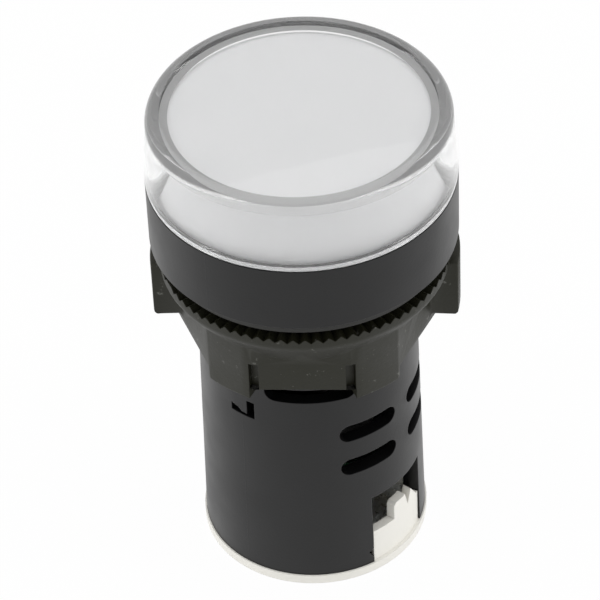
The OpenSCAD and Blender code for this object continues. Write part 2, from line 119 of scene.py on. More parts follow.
class PILOT_PG_colours(bpy.types.PropertyGroup):
    """Colours of the finishes."""

    housing: colour_property("Housing", "Black polycarbonate of the housing", "#0a0a0b")
    nut: colour_property("Fixing nut", "Black nylon of the fixing nut", "#1e1e12")
    # a lighter charcoal than black rubber: painted light that lifts the shade in the gap under the nut teeth
    seal: colour_property("Seal", "Black rubber of the panel seal", "#2c2c2a")
    diffuser: colour_property("Diffuser", "Opal white of the diffuser", "#fdfdfe")
    block: colour_property("Terminal block", "Natural white nylon of the terminal block", "#f3f1ea")
    mask_green: colour_property("Driver board", "Green solder mask of the driver board", "#2c6e3c")
    mask_white: colour_property("Lamp board", "White solder mask of the lamp board", "#e9eae5")
    film: colour_property("Film capacitor", "Black moulded case of the film capacitor", "#1b1a1a")
    sleeve: colour_property("Smoothing capacitor", "Dark blue sleeve of the capacitor can", "#1d2b4a")
    phosphor: colour_property("Lamp chips", "Yellow phosphor of the lamp chips", "#e8cf4a")


class PILOT_PG_light(bpy.types.PropertyGroup):
    """Stage, lamps and camera."""

    surround: bpy.props.FloatProperty(
        name="Surround", description="Strength of the plain white surround on the object", default=0.72, min=0
    )
    softbox: bpy.props.FloatProperty(
        name="Softbox", description="Power of the large softbox overhead", subtype="POWER", unit="POWER",
        default=0.5, min=0,
    )
    strip: bpy.props.FloatProperty(
        name="Strip lamps", description="Power of each strip lamp beside the object", subtype="POWER",
        unit="POWER", default=0.45, min=0,
    )
    azimuth: bpy.props.FloatProperty(
        name="Azimuth", description="Direction that the camera looks from", subtype="ANGLE",
        default=math.radians(38.5),
    )
    elevation: bpy.props.FloatProperty(
        name="Elevation", description="Height of the camera above the horizon", subtype="ANGLE",
        default=math.radians(42.272),
    )
    distance: bpy.props.FloatProperty(
        name="Distance", description="Distance of the camera from the object", subtype="DISTANCE",
        unit="LENGTH", default=0.34025,
    )


# ---------------------------------------------------------------- making shapes


def sizes():
    """The sizes that a user may change."""
    return bpy.context.scene.pilot_sizes


def colours():
    """The colours that a user may change."""
    return bpy.context.scene.pilot_colours


def start(primitive, name, **settings):
    """Adds a primitive with nothing else selected, and opens it in edit mode."""
    bpy.ops.object.select_all(action="DESELECT")
    primitive(**settings)
    piece = bpy.context.object
    piece.name = name
    piece.data.name = name
    bpy.ops.object.transform_apply(location=True, rotation=True, scale=True)
    bpy.ops.object.mode_set(mode="EDIT")
    bpy.ops.mesh.select_mode(type="FACE")
    bpy.ops.mesh.select_all(action="DESELECT")
    return piece


def choose(kind, test):
    """Selects only the faces, edges or vertices of the open mesh that pass a test of place or direction."""
    bpy.ops.mesh.select_mode(type={"faces": "FACE", "edges": "EDGE", "verts": "VERT"}[kind])
    bpy.ops.mesh.select_all(action="DESELECT")
    shape = bmesh.from_edit_mesh(bpy.context.object.data)
    for part in getattr(shape, kind):
        part.select_set(bool(test(part)))
    shape.select_flush_mode()
    bmesh.update_edit_mesh(bpy.context.object.data)


def finish_piece(piece, body, material, sharp=35):
    """Closes edit mode, shades the piece and makes it ride on its body."""
    bpy.ops.object.mode_set(mode="OBJECT")
    bpy.ops.object.shade_smooth_by_angle(angle=math.radians(sharp))
    piece.data.materials.clear()
    piece.data.materials.append(material)
    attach(piece, body)
    return piece


def is_level_at(z):
    """A test for flat faces that lie level at a height."""
    return lambda face: abs(face.calc_center_median().z - z) < 0.02 * MM and abs(face.normal.z) > 0.9


def lies_at(edge, z, near=0.01 * MM):
    """Whether both ends of an edge are at a height."""
    return all(abs(v.co.z - z) < near for v in edge.verts)


def scale_flat(factor):
    """Scales what is selected about the axis of the lamp."""
    bpy.ops.transform.resize(value=(factor, factor, 1), center_override=(0, 0, 0))


def extrude_by(x, y, z):
    """Extrudes what is selected along a vector."""
    bpy.ops.mesh.extrude_region_move(TRANSFORM_OT_translate={"value": (x, y, z)})


def raise_by(height):
    """Extrudes what is selected straight up, or straight down where the height is negative."""
    extrude_by(0, 0, height)


def round_edges(radius, segments):
    """Rounds the selected edges with an arc."""
    bpy.ops.mesh.bevel(offset=radius, segments=segments, profile=0.5, affect="EDGES")


def copy_of(node, name):
    """A merged copy of a CAD node, open in edit mode, that will stand for it."""
    bpy.ops.object.select_all(action="DESELECT")
    source = frame["nodes"][node]
    source.select_set(True)
    bpy.context.view_layer.objects.active = source
    bpy.ops.object.duplicate()
    piece = bpy.context.object
    piece.name = name
    piece.data.name = name
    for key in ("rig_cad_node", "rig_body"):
        del piece[key]
    bpy.ops.mesh.customdata_custom_splitnormals_clear()
    bpy.ops.object.mode_set(mode="EDIT")
    bpy.ops.mesh.select_mode(type="VERT")
    bpy.ops.mesh.select_all(action="SELECT")
    bpy.ops.mesh.remove_doubles(threshold=0.0005 * MM)
    return piece


def cut_by(piece, cutter):
    """Cuts one shape out of another and removes the cutter."""
    bpy.ops.object.select_all(action="DESELECT")
    piece.select_set(True)
    bpy.context.view_layer.objects.active = piece
    cut = piece.modifiers.new("cut", "BOOLEAN")
    cut.operation = "DIFFERENCE"
    cut.solver = "EXACT"
    cut.object = cutter
    bpy.ops.object.modifier_apply(modifier=cut.name)
    bpy.data.objects.remove(cutter)


# ---------------------------------------------------------------- finishes


def add_node(tree, kind, settings=None, values=None, links=None):
    """Adds a node with its settings, constant inputs and linked inputs."""
    made = tree.nodes.new(kind)
    for name, value in (settings or {}).items():
        setattr(made, name, value)
    for name, value in (values or {}).items():
        made.inputs[name].default_value = value
    for name, source in (links or {}).items():
        tree.links.new(source, made.inputs[name])
    return made


def new_material(name):
    """An empty material with its shader; gives the tree, the shader and Object coordinates."""
    material = bpy.data.materials.new(name)
    material.use_nodes = True
    tree = material.node_tree
    tree.nodes.clear()
    shader = add_node(tree, "ShaderNodeBsdfPrincipled")
    add_node(tree, "ShaderNodeOutputMaterial", links={"Surface": shader.outputs["BSDF"]})
    place = add_node(tree, "ShaderNodeTexCoord").outputs["Object"]
    return material, tree, shader, place


def moulded(
    name, colour, roughness, grain, grain_height, shade=0.12, ior=1.5, rounding=True, scuffs=0.0, parting=0.0
):
    """Moulded plastic or rubber, or a lacquer: fine grain, slow change of shade, rounded edges; in mm.

    The grain of a spark-eroded mould is about 0.1 mm wide, too fine to show on the whole lamp, so each
    finish draws it coarser. The parting is the width of the raised hairline that the two halves of the
    mould leave on the YZ plane.
    """
    flow = 6  # how far the shade holds as the melt flows
    fleck_width = 0.9  # how wide the scuffs of handling are
    scuffed = (*linear("#959590"), 1)
    hairline_height = 8.0  # how far the parting stands up, in heights of the grain
    material, tree, shader, place = new_material(name)
    cloud = add_node(
        tree, "ShaderNodeTexNoise", values={"Scale": 1 / (flow * MM), "Detail": 3.0}, links={"Vector": place}
    )
    grain_noise = add_node(
        tree, "ShaderNodeTexNoise", values={"Scale": 1 / (grain * MM), "Detail": 2.0}, links={"Vector": place}
    )
    dark = [c * (1 - shade) for c in colour]
    light = [min(1, c * (1 + shade)) for c in colour]
    tone = add_node(
        tree, "ShaderNodeMix", {"data_type": "RGBA"},
        {"A": (*dark, 1), "B": (*light, 1)}, {"Factor": cloud.outputs["Fac"]},
    )
    base = tone.outputs["Result"]
    gloss = add_node(
        tree, "ShaderNodeMapRange",
        values={"From Min": 0.3, "From Max": 0.7, "To Min": roughness - 0.05, "To Max": roughness + 0.05},
        links={"Value": cloud.outputs["Fac"]},
    )
    if scuffs:
        fleck = add_node(
            tree, "ShaderNodeTexNoise",
            values={"Scale": 1 / (fleck_width * MM), "Detail": 4.0, "Roughness": 0.7},
            links={"Vector": place},
        )
        # only the highest peaks of the pattern count, so the flecks stay few and apart
        mask = add_node(
            tree, "ShaderNodeMapRange",
            values={"From Min": 0.63, "From Max": 0.72, "To Min": 0.0, "To Max": scuffs},
            links={"Value": fleck.outputs["Fac"]},
        )
        base = add_node(
            tree, "ShaderNodeMix", {"data_type": "RGBA"}, {"B": scuffed},
            {"Factor": mask.outputs["Result"], "A": base},
        ).outputs["Result"]
    tree.links.new(base, shader.inputs["Base Color"])
    tree.links.new(gloss.outputs["Result"], shader.inputs["Roughness"])
    shader.inputs["IOR"].default_value = ior
    height = grain_noise.outputs["Fac"]
    if parting:
        across = add_node(tree, "ShaderNodeSeparateXYZ", links={"Vector": place}).outputs["X"]
        off = add_node(tree, "ShaderNodeMath", {"operation": "ABSOLUTE"}, links={0: across}).outputs[0]
        hairline = add_node(
            tree, "ShaderNodeMath", {"operation": "LESS_THAN"}, {1: parting / 2 * MM}, {0: off}
        ).outputs[0]
        height = add_node(
            tree, "ShaderNodeMath", {"operation": "MULTIPLY_ADD"}, {1: hairline_height},
            {0: hairline, 2: height},
        ).outputs[0]
    links = {"Height": height}
    if rounding:
        edge = add_node(tree, "ShaderNodeBevel", {"samples": 6}, {"Radius": sizes().edge_break})
        links["Normal"] = edge.outputs["Normal"]
    bump = add_node(
        tree, "ShaderNodeBump", values={"Strength": 0.6, "Distance": grain_height * MM}, links=links
    )
    tree.links.new(bump.outputs["Normal"], shader.inputs["Normal"])
    return material


def metal(name, hex_colour, roughness, grain, stretch=1.0):
    """Plated or rolled metal with fine marks that run along X when stretched. Lengths in mm.

    The marks of rolling and plating are some 0.05 mm wide, too fine to show on the whole lamp, so each
    finish draws them coarser.
    """
    mark_depth, edge_break = 0.01 * MM, 0.06 * MM
    mark_shade = 0.85
    material, tree, shader, place = new_material(name)
    marks_place = add_node(
        tree, "ShaderNodeMapping", values={"Scale": (1 / stretch, 1, 1)}, links={"Vector": place}
    )
    marks = add_node(
        tree, "ShaderNodeTexNoise", values={"Scale": 1 / (grain * MM), "Detail": 4.0},
        links={"Vector": marks_place.outputs["Vector"]},
    )
    colour = linear(hex_colour)
    tone = add_node(
        tree, "ShaderNodeMix", {"data_type": "RGBA"},
        {"A": (*[c * mark_shade for c in colour], 1), "B": (*colour, 1)}, {"Factor": marks.outputs["Fac"]},
    )
    gloss = add_node(
        tree, "ShaderNodeMapRange",
        values={"From Min": 0.3, "From Max": 0.7, "To Min": roughness * 0.8, "To Max": roughness * 1.3},
        links={"Value": marks.outputs["Fac"]},
    )
    edge = add_node(tree, "ShaderNodeBevel", {"samples": 4}, {"Radius": edge_break})
    bump = add_node(
        tree, "ShaderNodeBump", values={"Strength": 0.4, "Distance": mark_depth},
        links={"Height": marks.outputs["Fac"], "Normal": edge.outputs["Normal"]},
    )
    shader.inputs["Metallic"].default_value = 1.0
    tree.links.new(tone.outputs["Result"], shader.inputs["Base Color"])
    tree.links.new(gloss.outputs["Result"], shader.inputs["Roughness"])
    tree.links.new(bump.outputs["Normal"], shader.inputs["Normal"])
    return material


def dress(material, slot, *nodes):
    """Gives CAD nodes their finish."""
    for name in nodes:
        piece = frame["nodes"][name]
        piece.data.materials.clear()
        piece.data.materials.append(material)


# ---------------------------------------------------------------- the pieces


class PILOT_OT_stage(bpy.types.Operator):
    """Floor, plain surround, soft lamps and the camera"""

    bl_idname = "pilot.stage"
    bl_label = "Stage, lamps and camera"

    def execute(self, context):
        light = context.scene.pilot_light
        self.floor()
        self.surround(light)
        self.lamps(light)
        self.camera(light)
        context.scene.view_settings.view_transform = "Standard"
        return {"FINISHED"}

    def floor(self):
        """A wide pale floor that keeps the shadow and runs on into the surround."""
        width = 3
        formation = 8 * MM
        whiteness = 0.97
        floor = start(bpy.ops.mesh.primitive_plane_add, "floor", size=width)
        bpy.ops.object.mode_set(mode="OBJECT")
        # uncoated pressed paper: dull and nearly even, so the shadow fades out softly on it
        material, tree, shader, place = new_material("matt_white_paper")
        shader.inputs["Roughness"].default_value = 0.9
        fibre = add_node(
            tree, "ShaderNodeTexNoise", values={"Scale": 1 / formation, "Detail": 3.0},
            links={"Vector": place},
        )
        tone = add_node(
            tree, "ShaderNodeMix", {"data_type": "RGBA"},
            {"A": (*linear("#efefef"), 1), "B": (*linear("#f3f3f3"), 1)}, {"Factor": fibre.outputs["Fac"]},
        )
        tree.links.new(tone.outputs["Result"], shader.inputs["Base Color"])
        rays = add_node(tree, "ShaderNodeLightPath")
        seen = rays.outputs["Is Camera Ray"]
        for kind in ("Is Glossy Ray", "Is Transmission Ray"):
            seen = add_node(
                tree, "ShaderNodeMath", {"operation": "MAXIMUM"}, links={0: seen, 1: rays.outputs[kind]}
            ).outputs[0]
        # the rest of the share is the lit paper, which keeps the shadow of the lamp
        share = add_node(tree, "ShaderNodeMath", {"operation": "MULTIPLY"}, {1: whiteness}, {0: seen})
        white = add_node(tree, "ShaderNodeEmission", values={"Color": WHITE, "Strength": 1.0})
        mixed = add_node(
            tree, "ShaderNodeMixShader",
            links={0: share.outputs[0], 1: shader.outputs["BSDF"], 2: white.outputs["Emission"]},
        )
        output = next(n for n in tree.nodes if n.type == "OUTPUT_MATERIAL")
        tree.links.new(mixed.outputs["Shader"], output.inputs["Surface"])
        floor.data.materials.append(material)

    def surround(self, light):
        """A plain surround: white to the camera and through clear plastic, softer as a light and in gloss."""
        world = bpy.data.worlds.new("plain_surround")
        bpy.context.scene.world = world
        world.use_nodes = True
        tree = world.node_tree
        tree.nodes.clear()
        rays = add_node(tree, "ShaderNodeLightPath")
        soft = add_node(tree, "ShaderNodeBackground", values={"Color": WHITE, "Strength": light.surround})
        white = add_node(tree, "ShaderNodeBackground", values={"Color": WHITE, "Strength": 1.0})
        seen = add_node(
            tree, "ShaderNodeMath", {"operation": "MAXIMUM"},
            links={0: rays.outputs["Is Camera Ray"], 1: rays.outputs["Is Transmission Ray"]},
        )
        mixed = add_node(
            tree, "ShaderNodeMixShader",
            links={0: seen.outputs[0], 1: soft.outputs[0], 2: white.outputs[0]},
        )
        add_node(tree, "ShaderNodeOutputWorld", links={"Surface": mixed.outputs["Shader"]})

    def lamps(self, light):
        """A large softbox overhead and a tall strip lamp at each side, turned with the camera."""
        turn = Matrix.Rotation(light.azimuth, 4, "Z")
        # name, place, width and height, power; lengths in metres
        places = (
            ("softbox", (-0.05, 0.1, 0.5), (0.5, 0.5), light.softbox),
            ("strip_left", (-0.35, -0.1, 0.12), (0.08, 0.4), light.strip),
            ("strip_right", (0.35, -0.1, 0.12), (0.08, 0.4), light.strip),
        )
        aim = Vector((0, 0, 25 * MM))
        for name, place, size, power in places:
            data = bpy.data.lights.new(name, "AREA")
            data.shape = "RECTANGLE"
            data.size, data.size_y = size
            data.energy = power
            lamp = bpy.data.objects.new(name, data)
            bpy.context.scene.collection.objects.link(lamp)
            lamp.location = turn @ Vector(place)
            lamp.rotation_euler = (aim - lamp.location).to_track_quat("-Z", "Y").to_euler()
            # a strip mirrored in the flat top of the lens would look like a piece cut out of it
            lamp.visible_glossy = name == "softbox"

    def camera(self, light):
        """The camera, with a small turn off the middle and a small roll."""
        sensor, focal_length = 36, 214.704
        middle = Vector((0, 0, 24.5 * MM))
        turns = ((0.002, "up"), (0.006, "right"), (math.radians(2.513), "forward"))
        back = Vector((
            math.sin(light.azimuth) * math.cos(light.elevation),
            -math.cos(light.azimuth) * math.cos(light.elevation),
            math.sin(light.elevation),
        ))
        forward = -back
        right = Vector((math.cos(light.azimuth), math.sin(light.azimuth), 0))
        up = right.cross(forward)
        for angle, axis in turns:
            turn = Matrix.Rotation(angle, 3, {"up": up, "right": right, "forward": forward}[axis])
            forward, right, up = turn @ forward, turn @ right, turn @ up
        data = bpy.data.cameras.new("camera")
        data.sensor_width = sensor
        data.lens = focal_length
        data.clip_start, data.clip_end = 0.01, 20
        camera = bpy.data.objects.new("camera", data)
        bpy.context.scene.collection.objects.link(camera)
        turned = Matrix((right, up, -forward)).transposed().to_4x4()
        camera.matrix_world = Matrix.Translation(middle + back * light.distance) @ turned
        bpy.context.scene.camera = camera


class PILOT_OT_housing(bpy.types.Operator):
    """Black housing: bezel, threaded barrel and vented tube"""

    bl_idname = "pilot.housing"
    bl_label = "Housing"

    def execute(self, context):
        size = sizes()
        # polycarbonate from a fine eroded mould: an even satin black that goes grey where it is seen
        # edge-on, with a hairline down the tube where the halves of the mould met
        material = moulded(
            "moulded_black_polycarbonate", colours().housing, 0.38, 0.25, 0.012,
            shade=0.1, ior=1.43, parting=0.12,
        )
        tube = copy_of("housing", "threaded_housing")
        bpy.ops.object.mode_set(mode="OBJECT")
        cut_by(tube, self.groove(size))
        finish_piece(tube, "body", material, sharp=25)
        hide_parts("housing")
        return {"FINISHED"}

    def groove(self, size):
        """The cutter of the thread: a V section wound up the barrel as a screw."""
        barrel_r = 11 * MM
        low, high = 25.8 * MM, 35.2 * MM
        steps_a_turn = 72
        turns = round((high - low) / size.thread_pitch)
        half = size.thread_pitch * 0.42
        # the cutter stands out of the barrel by its rise, where it is wider than the groove
        rise, mouth = 0.3 * MM, half * 1.5
        section = start(
            bpy.ops.mesh.primitive_circle_add, "groove", vertices=3, radius=half, fill_type="NGON"
        )
        shape = bmesh.from_edit_mesh(section.data)
        corners = ((-size.thread_depth, 0), (rise, mouth), (rise, -mouth))
        for corner, (out, along) in zip(shape.verts, corners):
            corner.co = (barrel_r + out, 0, low + half + along)
        bmesh.update_edit_mesh(section.data)
        bpy.ops.object.mode_set(mode="OBJECT")
        wind = section.modifiers.new("wind", "SCREW")
        wind.angle = turns * 2 * math.pi
        wind.screw_offset = turns * size.thread_pitch
        wind.steps = wind.render_steps = turns * steps_a_turn
        wind.use_merge_vertices = False
        bpy.ops.object.modifier_apply(modifier=wind.name)
        bpy.ops.object.mode_set(mode="EDIT")
        bpy.ops.mesh.select_mode(type="EDGE")
        bpy.ops.mesh.select_all(action="SELECT")
        bpy.ops.mesh.region_to_loop()
        bpy.ops.mesh.select_non_manifold(extend=False)
        bpy.ops.mesh.fill()
        bpy.ops.mesh.select_all(action="SELECT")
        bpy.ops.mesh.normals_make_consistent(inside=False)
        bpy.ops.object.mode_set(mode="OBJECT")
        return section


class PILOT_OT_lens(bpy.types.Operator):
    """Clear lens cap"""

    bl_idname = "pilot.lens"
    bl_label = "Clear lens"

    def execute(self, context):
        size = sizes()
        low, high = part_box("lens_cap")
        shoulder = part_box("housing")[1].z + size.shoulder_gap
        outer = high.x
        plug_r = 13.25 * MM
        top_r = 13.95 * MM
        foot_edge = 0.12 * MM
        near = 0.01 * MM
        cap = start(
            bpy.ops.mesh.primitive_cylinder_add, "clear_lens", vertices=160, radius=outer,
            depth=high.z - shoulder, location=(0, 0, (high.z + shoulder) / 2),
        )
        choose("faces", is_level_at(high.z))
        scale_flat(top_r / outer)
        self.hollow(size, low, high, shoulder, outer, plug_r, top_r)
        choose("edges", lambda e: lies_at(e, high.z))
        round_edges(size.lens_edge, 7)
        border = top_r - size.lens_wall - size.lens_border
        choose("faces", is_level_at(high.z))
        raise_by(0)
        scale_flat((top_r - size.lens_wall) / (top_r - size.lens_edge))
        choose("edges", lambda e: lies_at(e, shoulder) and all(
            v.co.xy.length > outer - near for v in e.verts
        ))
        round_edges(foot_edge, 3)
        # polystyrene from a polished mould: glassy, so the white cup shows clearly through it
        polished = self.finish("polished_clear_polystyrene", "#fefefe", 0.03, 0.96)
        finish_piece(cap, "body", polished, sharp=30)
        # at the rounded edge the polish is duller, and the edge is tinted grey and made less clear as painted
        # shade for the wall seen along its length: a pale grey line
        cap.data.materials.append(self.finish("hazy_edge_polystyrene", "#e7e7e7", 0.08, 0.74))
        # the border under the top is eroded, and painted an almost opaque grey as painted shade for the dark
        # bezel seen mirrored inside the wall; it hides the rim of the cup behind a soft grey ring
        cap.data.materials.append(self.finish("eroded_border_polystyrene", "#b5b5b5", 0.5, 0.1))
        for face in cap.data.polygons:
            face.material_index = self.zone(face, size, high, border)
        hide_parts("lens_cap")
        return {"FINISHED"}

    def zone(self, face, size, high, border):
        """Which finish a face has: 0 polished, 1 the hazy rounded edge with painted grey shade, 2 the eroded
        border under the top with painted grey shade.
        """
        centre = face.center
        reach = centre.xy.length
        if abs(centre.z - high.z + size.lens_top) < 0.01 * MM and reach > border:
            return 2
        return 1 if centre.z > high.z - size.lens_edge and reach > border + size.lens_border else 0

    def hollow(self, size, low, high, shoulder, outer, plug_r, top_r):
        """The plug under the cap and the hollow over the diffuser."""
        choose("faces", is_level_at(shoulder))
        bpy.ops.mesh.inset(thickness=outer - plug_r)
        raise_by(low.z - shoulder)
        bpy.ops.mesh.inset(thickness=size.plug_wall)
        raise_by(shoulder - low.z)
        raise_by(0)
        scale_flat((outer - size.lens_wall) / (plug_r - size.plug_wall))
        raise_by(high.z - size.lens_top - shoulder)
        scale_flat((top_r - size.lens_wall) / (outer - size.lens_wall))
        bpy.ops.mesh.inset(thickness=size.lens_border)

    def finish(self, name, hex_colour, roughness, clearness):
        """Moulded polystyrene: its own finish and a faint ripple from the flow of the melt."""
        ripple_width, ripple_height = 5 * MM, 0.05 * MM
        colour = linear(hex_colour)
        # where the melt flowed, the tint is a trace darker and cooler
        flowed = [c * share for c, share in zip(colour, (0.98, 0.985, 0.985))]
        material, tree, shader, place = new_material(name)
        ripple = add_node(
            tree, "ShaderNodeTexNoise", values={"Scale": 1 / ripple_width, "Detail": 1.0},
            links={"Vector": place},
        )
        bump = add_node(
            tree, "ShaderNodeBump", values={"Strength": 0.12, "Distance": ripple_height},
            links={"Height": ripple.outputs["Fac"]},
        )
        gloss = add_node(
            tree, "ShaderNodeMapRange",
            values={"From Min": 0.3, "From Max": 0.7, "To Min": roughness * 0.8, "To Max": roughness * 1.2},
            links={"Value": ripple.outputs["Fac"]},
        )
        tint = add_node(
            tree, "ShaderNodeMix", {"data_type": "RGBA"},
            {"A": (*flowed, 1), "B": (*colour, 1)}, {"Factor": ripple.outputs["Fac"]},
        )
        tree.links.new(tint.outputs["Result"], shader.inputs["Base Color"])
        tree.links.new(gloss.outputs["Result"], shader.inputs["Roughness"])
        tree.links.new(bump.outputs["Normal"], shader.inputs["Normal"])
        shader.inputs["Transmission Weight"].default_value = clearness
        shader.inputs["IOR"].default_value = 1.49
        return material


class PILOT_OT_diffuser(bpy.types.Operator):
    """White diffuser under the lens"""

    bl_idname = "pilot.diffuser"
    bl_label = "Diffuser"

    def execute(self, context):
        # opal polycarbonate, filled to scatter the light: flat white with hardly any shine
        material = moulded(
            "moulded_opal_polycarbonate", colours().diffuser, 0.5, 0.3, 0.004, shade=0.01, ior=1.5
        )
        dress(material, "diffuser_white", "diffuser")
        return {"FINISHED"}


class PILOT_OT_nut(bpy.types.Operator):
    """Fixing nut and panel seal"""

    bl_idname = "pilot.nut"
    bl_label = "Fixing nut and seal"

    def execute(self, context):
        # glass-filled nylon: dull, a little olive, with pale flecks where handling scuffs it
        nylon = moulded(
            "moulded_black_nylon", colours().nut, 0.5, 0.35, 0.03, shade=0.18, ior=1.41, scuffs=0.35
        )
        nut = copy_of("fixing_nut", "toothed_wing_nut")
        bpy.ops.mesh.dissolve_limited(angle_limit=math.radians(1))
        self.soften()
        choose("edges", self.is_outside)
        round_edges(sizes().nut_edge, 2)
        finish_piece(nut, "nut", nylon, sharp=32)
        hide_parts("fixing_nut")
        # nitrile rubber pressed in a plain mould: dull, painted a lighter charcoal than black rubber as
        # painted light that lifts the shade in the gap under the nut teeth; it takes no highlight
        rubber = moulded("moulded_black_rubber", colours().seal, 0.7, 0.2, 0.01, shade=0.2, ior=1.52)
        dress(rubber, "seal_rubber", "panel_gasket")
        return {"FINISHED"}

    def soften(self):
        """Runs the skirt into the rim without a step, and rounds the lower corners of the wings."""
        rim_z, wing_z = 33.25 * MM, 27.5 * MM
        skirt_r, rim_r, wing_r = 13.5 * MM, 13.65 * MM, 14.3 * MM
        rim_edge, wing_edge = 0.4 * MM, 0.5 * MM
        near = 0.03 * MM

        def is_on_rim(v, radius):
            return abs(v.co.z - rim_z) < near and abs(v.co.xy.length - radius) < near

        choose("verts", lambda v: is_on_rim(v, skirt_r))
        scale_flat(rim_r / skirt_r)
        choose("verts", lambda v: is_on_rim(v, rim_r))
        bpy.ops.mesh.remove_doubles(threshold=near)
        choose("edges", lambda e: all(is_on_rim(v, rim_r) for v in e.verts))
        round_edges(rim_edge, 3)
        choose("edges", lambda e: lies_at(e, wing_z, near) and all(
            v.co.xy.length > wing_r for v in e.verts
        ))
        round_edges(wing_edge, 4)

    def is_outside(self, edge):
        """A long sharp edge outside the bore: of the wings at any height, of the rest below the teeth."""
        bore_r, flange_r = 11.4 * MM, 13.66 * MM
        teeth_z = 33.6 * MM
        shortest, least_angle = 0.25 * MM, math.radians(35)
        if len(edge.link_faces) != 2 or edge.calc_length() < shortest:
            return False
        if edge.calc_face_angle() < least_angle:
            return False
        if any(self.by_groove(v.co) for v in edge.verts):
            return False
        reach = ((edge.verts[0].co + edge.verts[1].co) / 2).xy.length
        return reach > flange_r or (reach > bore_r and max(v.co.z for v in edge.verts) < teeth_z)

    def by_groove(self, place):
        """Near one of the narrow grooves beside the two flats, where a rounded edge would cross another."""
        flat, inner, outer = (math.radians(angle) for angle in (-55.3, 17, 25))
        groove_z = 31.2 * MM
        across = abs((math.atan2(place.y, place.x) - flat + math.pi / 2) % math.pi - math.pi / 2)
        return inner < across < outer and place.z < groove_z


class PILOT_OT_terminals(bpy.types.Operator):
    """White terminal block with its plates, washers and screws"""

    bl_idname = "pilot.terminals"
    bl_label = "Terminal block and terminals"

    def execute(self, context):
        # uncoloured nylon: a warm, slightly creamy white with a satin skin
        nylon = moulded("moulded_white_nylon", colours().block, 0.42, 0.4, 0.01, shade=0.02, ior=1.53)
        dress(nylon, "block_white", "terminal_block")
        # rolled brass strip under nickel: warm silver with long faint streaks from the rolls
        brass = metal("nickel_plated_brass", "#c9c3b2", 0.28, 0.5, 4.0)
        dress(brass, "plate_brass", "terminal_plate_1", "terminal_plate_2")
        # bright zinc on steel: cool silver, a little cloudy
        steel = metal("zinc_plated_steel", "#c6c9cc", 0.3, 0.3)
        dress(
            steel, "zinc_steel",
            "clamp_washer_1", "clamp_washer_2", "terminal_screw_1", "terminal_screw_2",
        )
        return {"FINISHED"}


class PILOT_OT_electronics(bpy.types.Operator):
    """Driver board, lamp board and the components on them"""

    bl_idname = "pilot.electronics"
    bl_label = "Boards and components"

    def execute(self, context):
        colour = colours()
        epoxy = linear("#222222")
        lamps = [f"led_{i}" for i in range(1, 7)]
        # name, colour, roughness, width of the grain in mm, change of shade, rounded edges, slot, nodes
        finishes = (
            # lacquer printed over copper: glossy, and mottled where tracks run under it
            ("green_solder_mask", colour.mask_green, 0.3, 0.5, 0.15, False, "board_green", ["driver_board"]),
            # the same lacquer filled with white: even, to throw the light forward
            ("white_solder_mask", colour.mask_white, 0.35, 0.5, 0.03, False, "board_white", ["led_board"]),
            # phosphor in cast silicone: a soft yellow square on each lamp chip
            ("cast_yellow_phosphor", colour.phosphor, 0.4, 0.2, 0.05, True, "chip_body", lamps),
            # polyester box: black, smooth and rather shiny
            ("moulded_black_polyester", colour.film, 0.35, 0.2, 0.1, True, "box_black", ["film_capacitor"]),
            # plastic film shrunk on to the can: dark blue, glossy, drawn tight over the rims
            ("shrunk_blue_sleeve", colour.sleeve, 0.3, 0.6, 0.1, True, "can_blue", ["smoothing_capacitor"]),
            # epoxy full of silica: dark grey and dull
            ("moulded_black_epoxy", epoxy, 0.45, 0.15, 0.1, True, "chip_black", ["bridge_rectifier"]),
        )
        for name, hue, roughness, grain, shade, rounding, slot, nodes in finishes:
            material = moulded(name, hue, roughness, grain, 0.01, shade=shade, rounding=rounding)
            dress(material, slot, *nodes)
        for name, node, slot, lacquer, bands in (
            ("tan_resistor_lacquer", "bleed_resistor", "resistor_tan", "#c9a77a",
             ("#7a3b12", "#151515", "#d8b21c", "#a88438")),
            ("blue_grey_resistor_lacquer", "limiting_resistor", "resistor_blue", "#8aa0ae",
             ("#b3541e", "#c9601a", "#7a3b12", "#a88438")),
        ):
            dress(self.banded(name, node, lacquer, bands), slot, node)
        # copper wire dipped in tin: pale silver, brighter and softer than the steel
        dress(metal("tinned_copper_pin", "#cfd0cd", 0.3, 0.3), "tinned_pin", "link_pin_1", "link_pin_2")
        return {"FINISHED"}

    def banded(self, name, node, lacquer, bands):
        """Dipped lacquer, glossy and a little uneven, with four painted bands across a body along Y."""
        offsets = (-1.3, -0.6, 0.1, 1.1)
        half_band = 0.17 * MM
        material = moulded(name, linear(lacquer), 0.35, 0.6, 0.02, shade=0.08)
        tree = material.node_tree
        shader = next(n for n in tree.nodes if n.type == "BSDF_PRINCIPLED")
        place = next(n for n in tree.nodes if n.type == "TEX_COORD").outputs["Object"]
        along = add_node(tree, "ShaderNodeSeparateXYZ", links={"Vector": place}).outputs["Y"]
        low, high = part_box(node)
        middle = (low.y + high.y) / 2
        base = shader.inputs["Base Color"].links[0].from_socket
        for band, offset in zip(bands, offsets):
            off = add_node(
                tree, "ShaderNodeMath", {"operation": "SUBTRACT"}, {1: middle + offset * MM}, {0: along}
            ).outputs[0]
            away = add_node(tree, "ShaderNodeMath", {"operation": "ABSOLUTE"}, links={0: off}).outputs[0]
            inside = add_node(
                tree, "ShaderNodeMath", {"operation": "LESS_THAN"}, {1: half_band}, {0: away}
            ).outputs[0]
            base = add_node(
                tree, "ShaderNodeMix", {"data_type": "RGBA"}, {"B": (*linear(band), 1)},
                {"Factor": inside, "A": base},
            ).outputs["Result"]
        tree.links.new(base, shader.inputs["Base Color"])
        return material


